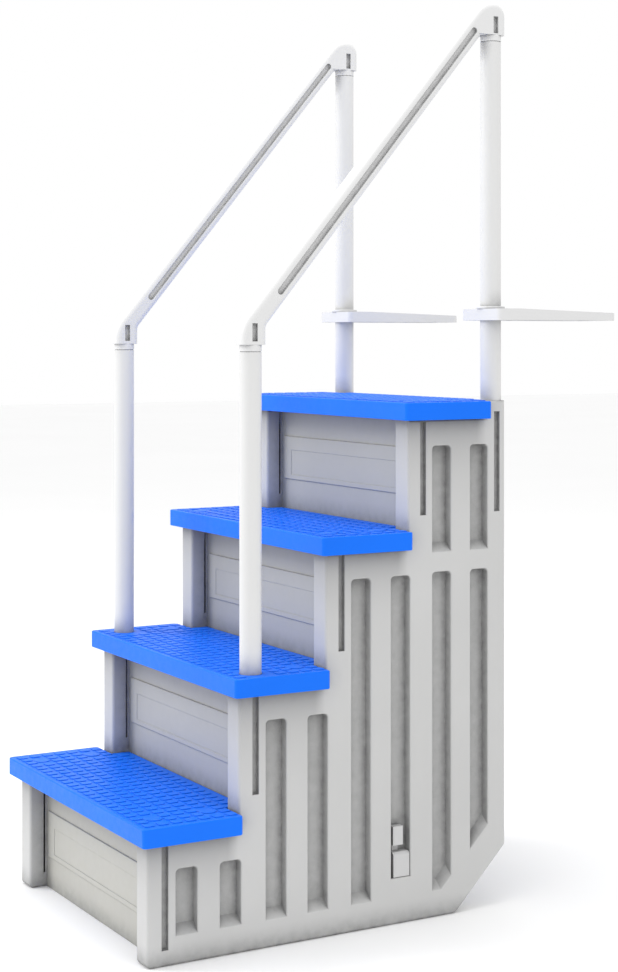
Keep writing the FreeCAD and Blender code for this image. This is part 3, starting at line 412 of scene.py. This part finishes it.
post_tube = moulded_plastic(
    "post_tube", POST_WHITE, POST_SHADE, 0.36, mottle=0.012, grain=0.00005, crevice=0.05, gloss=0.5)
finish_nodes(post_tube, *both("front_post", "rear_post"))

# --------------------------------------------------------------- flanges and bushings
# Ribbed plates that screw down on the pool deck. Each turns on a bushing, which slides
# on the rear post, so that the plate finds the height and the line of the deck.
FLANGE_WHITE = (0.68, 0.68, 0.68, 1.0)
# The darker colour is painted shade for their corners.
FLANGE_SHADE = (0.42, 0.42, 0.43, 1.0)

flange_plastic = moulded_plastic(
    "flange_plastic", FLANGE_WHITE, FLANGE_SHADE, 0.44, mottle=0.02, crevice=0.02)
bushing_plastic = moulded_plastic(
    "bushing_plastic", FLANGE_WHITE, FLANGE_SHADE, 0.38, mottle=0.015, crevice=0.01)
finish_nodes(flange_plastic, *both("deck_flange"))
finish_nodes(bushing_plastic, *both("flange_bushing"))

# -------------------------------------------------------------------- rails, connectors
# Hollow handrails that turn down over the posts. Their pockets key on the connectors' flats.
RAIL_WHITE = (0.70, 0.70, 0.70, 1.0)
# The darker colour is painted shade for corners such as the rail's groove.
RAIL_SHADE = (0.26, 0.26, 0.26, 1.0)

rail_plastic = moulded_plastic(
    "rail_plastic", RAIL_WHITE, RAIL_SHADE, 0.40, mottle=0.015, grain=0.00008, crevice=0.014,
    rub=0.15)
connector_plastic = moulded_plastic(
    "connector_plastic", RAIL_WHITE, RAIL_SHADE, 0.45, mottle=0.015, crevice=0.012)
finish_nodes(rail_plastic, *both("handrail"))
finish_nodes(connector_plastic, *both("front_rail_connector", "rear_rail_connector"))

# ------------------------------------------------------------------ floor, light, camera
# A plain pale floor and soft studio light: a broad key from the front left, a softer one
# overhead, and an even sky.
FLOOR_SIZE = 60.0
FLOOR_WHITE = (0.97, 0.97, 0.97)
FLOOR_CLOUDS = 0.6          # cells a metre
KEY_PLACE = (-3.2, -4.6, 4.6)
KEY_TARGET = (0.0, 0.0, 0.9)
KEY_SIZE = 2.6
KEY_POWER = 165.0
OVERHEAD_PLACE = (0.3, -0.3, 5.0)
OVERHEAD_TARGET = (0.3, -0.3, 0.0)
OVERHEAD_SIZE = 2.5
OVERHEAD_POWER = 75.0
SKY_STRENGTH = 1.0
LENS = 69.33
SENSOR = 36.0
LENS_SHIFT = -0.1605
CAMERA_PLACE = (3.9093, -2.2395, 1.3193)
CAMERA_TILT = 90.189        # degrees up from straight down
CAMERA_TURN = 60.181        # degrees round from facing along Y

floor_material = bpy.data.materials.new("studio_floor")
floor_material.use_nodes = True
tree = floor_material.node_tree
tree.nodes.clear()
place = node(tree, "ShaderNodeTexCoord").outputs["Object"]
cloud = node(tree, "ShaderNodeTexNoise", {"Vector": place, "Scale": FLOOR_CLOUDS, "Detail": 3.0})
tone = spread(tree, cloud.outputs["Fac"], *MIDDLE, 0.985, 1.0)
base = node(tree, "ShaderNodeVectorMath", {0: FLOOR_WHITE, "Scale": tone}, operation="SCALE")
shader = node(tree, "ShaderNodeBsdfPrincipled", {
    "Base Color": base.outputs[0], "Roughness": 0.8, "Specular IOR Level": 0.1})
node(tree, "ShaderNodeOutputMaterial", {"Surface": shader.outputs[0]})

floor_mesh = bpy.data.meshes.new("floor")
half = FLOOR_SIZE / 2
floor_corners = [(-half, -half, 0), (half, -half, 0), (half, half, 0), (-half, half, 0)]
floor_mesh.from_pydata(floor_corners, [], [(0, 1, 2, 3)])
floor_mesh.materials.append(floor_material)
floor = bpy.data.objects.new("floor", floor_mesh)
bpy.context.scene.collection.objects.link(floor)

world = bpy.data.worlds.new("studio")
world.use_nodes = True
sky = world.node_tree.nodes["Background"]
sky.inputs["Color"].default_value = (1.0, 1.0, 1.0, 1.0)
sky.inputs["Strength"].default_value = SKY_STRENGTH
bpy.context.scene.world = world


def soft_light(name, place, target, size, power):
    """Square area light aimed at a point."""
    lamp = bpy.data.lights.new(name, "AREA")
    lamp.size = size
    lamp.energy = power
    holder = bpy.data.objects.new(name, lamp)
    holder.location = place
    aim = Vector(target) - Vector(place)
    holder.rotation_euler = aim.to_track_quat("-Z", "Y").to_euler()
    bpy.context.scene.collection.objects.link(holder)


soft_light("key", KEY_PLACE, KEY_TARGET, KEY_SIZE, KEY_POWER)
soft_light("overhead", OVERHEAD_PLACE, OVERHEAD_TARGET, OVERHEAD_SIZE, OVERHEAD_POWER)

lens = bpy.data.cameras.new("camera")
lens.lens = LENS
lens.sensor_width = SENSOR
lens.shift_y = LENS_SHIFT
lens.clip_end = 100.0
camera = bpy.data.objects.new("camera", lens)
camera.location = CAMERA_PLACE
camera.rotation_euler = (math.radians(CAMERA_TILT), 0.0, math.radians(CAMERA_TURN))
bpy.context.scene.collection.objects.link(camera)
bpy.context.scene.camera = camera
bpy.context.scene.view_settings.view_transform = "Standard"
